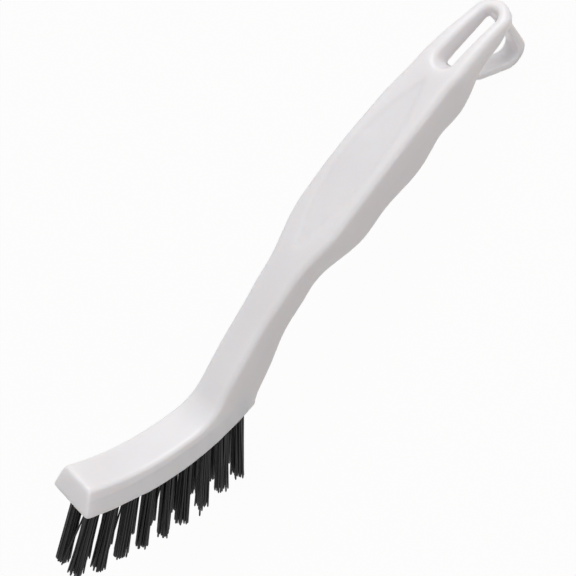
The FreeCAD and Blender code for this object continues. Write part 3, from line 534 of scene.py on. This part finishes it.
def slope_slot(places, normals, level, settings):
    """Lean the slot's walls in towards its foot, and its front end further, as a scoop."""
    forward = places @ np.array(RAILS_FORWARD)
    outward = np.stack((forward - np.clip(forward, *SLOT_ENDS), places[:, 1]), axis=1)
    reach = np.hypot(*outward.T)
    outward /= np.maximum(reach, SMALLEST)[:, None]
    facing = np.stack((normals @ np.array(RAILS_FORWARD), normals[:, 1]), axis=1)
    on_wall = ease(-(facing * outward).sum(axis=1) / SLOT_FACING_RUN) * (reach < SLOT_REACH)
    lean = settings.slot_draft * np.interp(level, SLOT_LEVELS, (0, 1, 0))
    scoop = settings.slot_scoop * np.interp(level, SCOOP_LEVELS, (0, 1, 1, 0))
    front = ease((SCOOP_START - forward) / SCOOP_RUN)
    shift = on_wall * (lean + front * (scoop - lean))
    places -= np.outer(shift * outward[:, 0], RAILS_FORWARD)
    places[:, 1] -= shift * outward[:, 1]


def shape_grip(piece, settings):
    """Sink the dish behind a short soft wall, widen the rails and the strap, and slope the slot's walls."""
    places = vertex_table(piece, "co")
    normals = vertex_table(piece, "normal")
    upwards = ease((normals[:, 2] - DISH_FACING) / DISH_FACING_RUN)
    along, across = places[:, 0], places[:, 1]
    outline = DISH_HALF_WIDTH * (1 - ((along - DISH_MIDDLE_X) / DISH_HALF_LENGTH) ** 2)
    places[:, 2] -= settings.dish_drop * upwards * ease((outline - np.abs(across)) / settings.dish_wall)
    level = places @ np.array(RAILS_UP)
    on_rails = ease((along - RAILS_START_X) / RAILS_RUN) * (level > RAILS_LEVEL)
    outer = ease((np.abs(across) - RAILS_HALF_WIDTH) / RAILS_EDGE_RUN)
    places[:, 1] += np.sign(across) * settings.rail_swell * on_rails * outer
    near_strap = (np.abs(across) < STRAP_HALF_WIDTH) * (along > STRAP_START_X)
    on_strap = near_strap * ease((STRAP_TOP - level) / STRAP_RUN)
    places[:, 1] *= 1 + settings.strap_swell_share * on_strap
    slope_slot(places, normals, level, settings)
    piece.data.vertices.foreach_set("co", places.ravel())
    group_points(piece, "rails", on_rails)
    group_points(piece, "nose", ease((NOSE_START_X - along) / NOSE_RUN))


def smooth_edges(piece, name, times, group=""):
    """Round the edges of a piece, or of a group of its points."""
    rounded = piece.modifiers.new(name, "SMOOTH")
    rounded.factor = SMOOTH_FACTOR
    rounded.iterations = times
    rounded.vertex_group = group
    bpy.ops.object.modifier_apply(modifier=rounded.name)


class BRUSH_OT_handle(bpy.types.Operator):
    """Shape the handle's dish, rails, slot and head, round off its edges and give it its plastic"""

    bl_idname = "crevice_brush.handle"
    bl_label = "Handle"

    def execute(self, context):
        settings = context.scene.brush_handle
        piece = link_new("handle_moulding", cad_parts["handle"].data.copy())
        choose(piece)
        bpy.ops.mesh.customdata_custom_splitnormals_clear()
        bpy.ops.object.mode_set(mode="EDIT")
        bpy.ops.mesh.select_all(action="SELECT")
        bpy.ops.mesh.remove_doubles(threshold=SMALLEST)
        bpy.ops.object.mode_set(mode="OBJECT")
        even = piece.modifiers.new("even_mesh", "REMESH")
        even.mode = "VOXEL"
        even.voxel_size = settings.mesh_size
        bpy.ops.object.modifier_apply(modifier=even.name)
        shape_grip(piece, settings)
        smooth_edges(piece, "rounded_rails", settings.rail_rounding, "rails")
        smooth_edges(piece, "rounded_nose", settings.nose_rounding, "nose")
        smooth_edges(piece, "rounded_edges", settings.rounding)
        shape_head(piece, settings)
        bpy.ops.object.shade_smooth()
        dress(piece, handle_plastic(settings))
        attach(piece, BODY)
        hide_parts("handle")
        return {"FINISHED"}


def model_filament(settings, bend_share):
    """One filament that stands on the origin, set sideways towards its tip."""
    deselect_all()
    bpy.ops.mesh.primitive_circle_add(vertices=FILAMENT_SIDES, radius=settings.diameter / 2)
    filament = bpy.context.object
    bpy.ops.object.mode_set(mode="EDIT")
    bpy.ops.mesh.select_all(action="SELECT")
    height = 0
    set_off = 0
    girth = 1
    for height_share, ring_girth in FILAMENT_RING_SHARES:
        rise = height_share * settings.length - height
        shift = bend_share * height_share ** 2 * settings.length - set_off
        bpy.ops.mesh.extrude_region_move(TRANSFORM_OT_translate={"value": (shift, 0, rise)})
        factor = ring_girth / girth
        middle = (set_off + shift, 0, height + rise)
        bpy.ops.transform.resize(value=(factor, factor, 1), center_override=middle)
        height += rise
        set_off += shift
        girth = ring_girth
    bpy.ops.mesh.select_all(action="SELECT")
    bpy.ops.mesh.fill_holes(sides=0)
    bpy.ops.mesh.normals_make_consistent(inside=False)
    bpy.ops.object.mode_set(mode="OBJECT")
    bpy.ops.object.shade_smooth_by_angle(angle=FILAMENT_EDGE_ANGLE)
    return filament


def set_attribute(mesh, name, values):
    """Number on every point of a mesh, for its material."""
    attribute = mesh.attributes.get(name) or mesh.attributes.new(name, "FLOAT", "POINT")
    attribute.data.foreach_set("value", values)


def tuft_axis(node):
    """Foot of a tuft's axis, its direction towards the tips and its length, from the CAD node."""
    points = np.unique(np.round([vertex.co for vertex in node.data.vertices], POINT_DECIMALS), axis=0)
    middle = points.mean(axis=0)
    direction = np.linalg.svd(points - middle, full_matrices=False)[2][0]
    direction *= -np.sign(direction[2])
    along = (points - middle) @ direction
    foot = middle + along.min() * direction
    return Vector(foot), Vector(direction), float(along.max() - along.min())


def scatter_lean(numbers, spread):
    """Small turn out of line, about two axes across the filament."""
    first = Quaternion((1, 0, 0), numbers.gauss(0, spread))
    return Quaternion((0, 1, 0), numbers.gauss(0, spread)) @ first


def filament_places(settings, numbers, trim_share, foot, direction, length):
    """Matrix of every filament of one tuft: its place on the root, its lean, its roll and its length."""
    turn = direction.to_track_quat("Z", "Y") @ scatter_lean(numbers, settings.tuft_lean)
    frame_of_tuft = Matrix.Translation(foot) @ turn.to_matrix().to_4x4()
    start = settings.root_depth - settings.seat
    trim = length - start - trim_share * settings.nose_trim - numbers.uniform(0, settings.trim_scatter / 2)
    for i in range(settings.filaments):
        ring = math.sqrt((i + 0.5) / settings.filaments)
        bearing = i * GOLDEN_TURN + numbers.gauss(0, TURN_SCATTER)
        lean = ring * settings.splay
        if numbers.random() < settings.stray_share:
            lean = settings.stray_lean
        outward = Vector((math.cos(bearing), math.sin(bearing), 0))
        tilt = Quaternion(Vector((-outward.y, outward.x, 0)), lean) @ scatter_lean(numbers, settings.scatter)
        roll = Quaternion((0, 0, 1), numbers.uniform(0, math.tau))
        reach = trim - numbers.random() ** 2 * settings.trim_scatter
        base = outward * ring * settings.root_radius + Vector((0, 0, start))
        place = frame_of_tuft @ Matrix.Translation(base) @ (tilt @ roll).to_matrix().to_4x4()
        tip = place @ Vector((0, 0, reach))
        root = place.translation
        if tip.z < settings.floor_gap:
            reach *= (root.z - settings.floor_gap) / (root.z - tip.z)
        yield place @ Matrix.Diagonal((1, 1, reach / settings.length, 1))


class BRUSH_OT_tufts(bpy.types.Operator):
    """Build every tuft from single filaments, in the place of its CAD node"""

    bl_idname = "crevice_brush.tufts"
    bl_label = "Tufts"

    def execute(self, context):
        settings = context.scene.brush_tufts
        material = tuft_nylon(settings)
        forms = [model_filament(settings, share) for share in FILAMENT_BEND_SHARES]
        for form in forms:
            heights = [vertex.co.z / settings.length for vertex in form.data.vertices]
            set_attribute(form.data, "reach", heights)
        for name in sorted(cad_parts):
            if name.startswith("tuft_"):
                self.build_tuft(settings, name, forms, material)
        for form in forms:
            bpy.data.objects.remove(form)
        return {"FINISHED"}

    def build_tuft(self, settings, name, forms, material):
        """One tuft: copies of the filament forms, joined to one piece."""
        numbers = random.Random(f"{name} {settings.seed}")
        trim_share = 1 - int(name.split("_")[-1]) / TUFTS_PER_ROW
        copies = []
        for place in filament_places(settings, numbers, trim_share, *tuft_axis(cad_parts[name])):
            mesh = numbers.choice(forms).data.copy()
            mesh.transform(place)
            set_attribute(mesh, "strand", [numbers.random()] * len(mesh.vertices))
            copies.append(link_new("filament", mesh))
        choose(copies[0])
        for item in copies:
            item.select_set(True)
        bpy.ops.object.join()
        piece = bpy.context.object
        piece.name = name.replace("tuft", "bristles")
        dress(piece, material)
        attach(piece, BODY)
        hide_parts(name)


class BRUSH_OT_staples(bpy.types.Operator):
    """Give the staples their steel"""

    bl_idname = "crevice_brush.staples"
    bl_label = "Staples"

    def execute(self, context):
        dress(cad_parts["staples"], staple_steel(context.scene.brush_staples))
        return {"FINISHED"}


def seen_rays(tree, place):
    """Factor that is one for what the camera sees straight, mirrored or through glass."""
    path = add_node(tree, "ShaderNodeLightPath", place)
    first = add_node(tree, "ShaderNodeMath", (place[0] + 200, place[1]), operation="MAXIMUM")
    last = add_node(tree, "ShaderNodeMath", (place[0] + 400, place[1]), operation="MAXIMUM")
    tree.links.new(path.outputs["Is Camera Ray"], first.inputs[0])
    tree.links.new(path.outputs["Is Glossy Ray"], first.inputs[1])
    tree.links.new(first.outputs["Value"], last.inputs[0])
    tree.links.new(path.outputs["Is Transmission Ray"], last.inputs[1])
    return last.outputs["Value"]


def floor_paper(settings):
    """Pale paper that looks nearly white to the camera and still takes the shadow of the brush."""
    material, tree, shader = new_material("floor_paper")
    shader.inputs["Base Color"].default_value = (*settings.floor_colour, 1)
    shader.inputs["Roughness"].default_value = FLOOR_ROUGHNESS
    shader.inputs["Specular IOR Level"].default_value = 0
    glow = add_node(tree, "ShaderNodeEmission", (300, 200))
    share = add_node(tree, "ShaderNodeMath", (100, 400), operation="MULTIPLY")
    share.inputs[1].default_value = FLOOR_GLOW_SHARE
    mixed = add_node(tree, "ShaderNodeMixShader", (500, 100))
    link = tree.links.new
    link(seen_rays(tree, (-500, 400)), share.inputs[0])
    link(share.outputs["Value"], mixed.inputs["Fac"])
    link(shader.outputs["BSDF"], mixed.inputs[1])
    link(glow.outputs["Emission"], mixed.inputs[2])
    link(mixed.outputs["Shader"], tree.nodes["Material Output"].inputs["Surface"])
    return material


def add_floor(settings):
    """Plain pale floor below the brush."""
    deselect_all()
    bpy.ops.mesh.primitive_plane_add(size=settings.floor_size)
    floor = bpy.context.object
    floor.name = "floor"
    dress(floor, floor_paper(settings))


def add_lamp(name, place, size, power):
    """Square soft lamp that faces the middle of the brush."""
    data = bpy.data.lights.new(name, "AREA")
    data.shape = "SQUARE"
    data.size = size
    data.energy = power
    lamp = link_new(name, data)
    lamp.location = place
    lamp.rotation_euler = (-Vector(place)).to_track_quat("-Z", "Y").to_euler()


def add_sky(settings):
    """Even light from all round, white where it is seen."""
    world = bpy.data.worlds.new("studio")
    world.use_nodes = True
    tree = world.node_tree
    background = tree.nodes["Background"]
    background.inputs["Color"].default_value = WHITE
    level = add_node(tree, "ShaderNodeMapRange", (-200, 0))
    level.inputs["To Min"].default_value = settings.sky
    tree.links.new(seen_rays(tree, (-800, 0)), level.inputs["Value"])
    tree.links.new(level.outputs["Result"], background.inputs["Strength"])
    bpy.context.scene.world = world


def add_camera(settings):
    """Camera on the line of sight of the photograph."""
    away = Vector((
        math.sin(settings.azimuth) * math.cos(settings.elevation),
        -math.cos(settings.azimuth) * math.cos(settings.elevation),
        math.sin(settings.elevation),
    ))
    data = bpy.data.cameras.new("camera")
    data.sensor_width = SENSOR_WIDTH
    data.lens = settings.lens
    data.clip_start = NEAREST_SEEN
    camera = link_new("camera", data)
    camera.location = Vector(settings.target) + away * settings.distance
    level = (-away).to_track_quat("-Z", "Y")
    camera.rotation_euler = (level @ Quaternion((0, 0, 1), -settings.roll)).to_euler()
    bpy.context.scene.camera = camera


class BRUSH_OT_stage(bpy.types.Operator):
    """Set up the floor, the lamps, the sky and the camera"""

    bl_idname = "crevice_brush.stage"
    bl_label = "Stage"

    def execute(self, context):
        settings = context.scene.brush_stage
        add_floor(settings)
        add_lamp("key_lamp", settings.key_place, settings.key_size, settings.key_power)
        add_lamp("fill_lamp", settings.fill_place, settings.fill_size, settings.fill_power)
        add_sky(settings)
        add_camera(settings)
        context.scene.view_settings.view_transform = "Standard"
        return {"FINISHED"}


OPERATORS = (BRUSH_OT_handle, BRUSH_OT_tufts, BRUSH_OT_staples, BRUSH_OT_stage)
SETTINGS = {
    "brush_handle": HandleSettings,
    "brush_tufts": TuftSettings,
    "brush_staples": StapleSettings,
    "brush_stage": StageSettings,
}


class BRUSH_PT_sidebar(bpy.types.Panel):
    """Steps that dress the brush, in order"""

    bl_idname = "BRUSH_PT_sidebar"
    bl_label = "Crevice brush"
    bl_space_type = "VIEW_3D"
    bl_region_type = "UI"
    bl_category = "Brush"

    def draw(self, context):
        for group in SETTINGS:
            settings = getattr(context.scene, group)
            for name in settings.bl_rna.properties.keys():
                if name not in ("rna_type", "name"):
                    self.layout.prop(settings, name)
        for operator in OPERATORS:
            self.layout.operator(operator.bl_idname)


CLASSES = (*SETTINGS.values(), *OPERATORS, BRUSH_PT_sidebar)


def register():
    """Make the classes and their settings known."""
    for item in CLASSES:
        bpy.utils.register_class(item)
    for name, group in SETTINGS.items():
        setattr(bpy.types.Scene, name, PointerProperty(type=group))


def unregister():
    """Take the settings and the classes away again."""
    for name in SETTINGS:
        delattr(bpy.types.Scene, name)
    for item in reversed(CLASSES):
        bpy.utils.unregister_class(item)


def main():
    """Dress the brush on its stage."""
    register()
    bpy.ops.crevice_brush.handle()
    bpy.ops.crevice_brush.tufts()
    bpy.ops.crevice_brush.staples()
    bpy.ops.crevice_brush.stage()


if __name__ == "__main__":
    main()
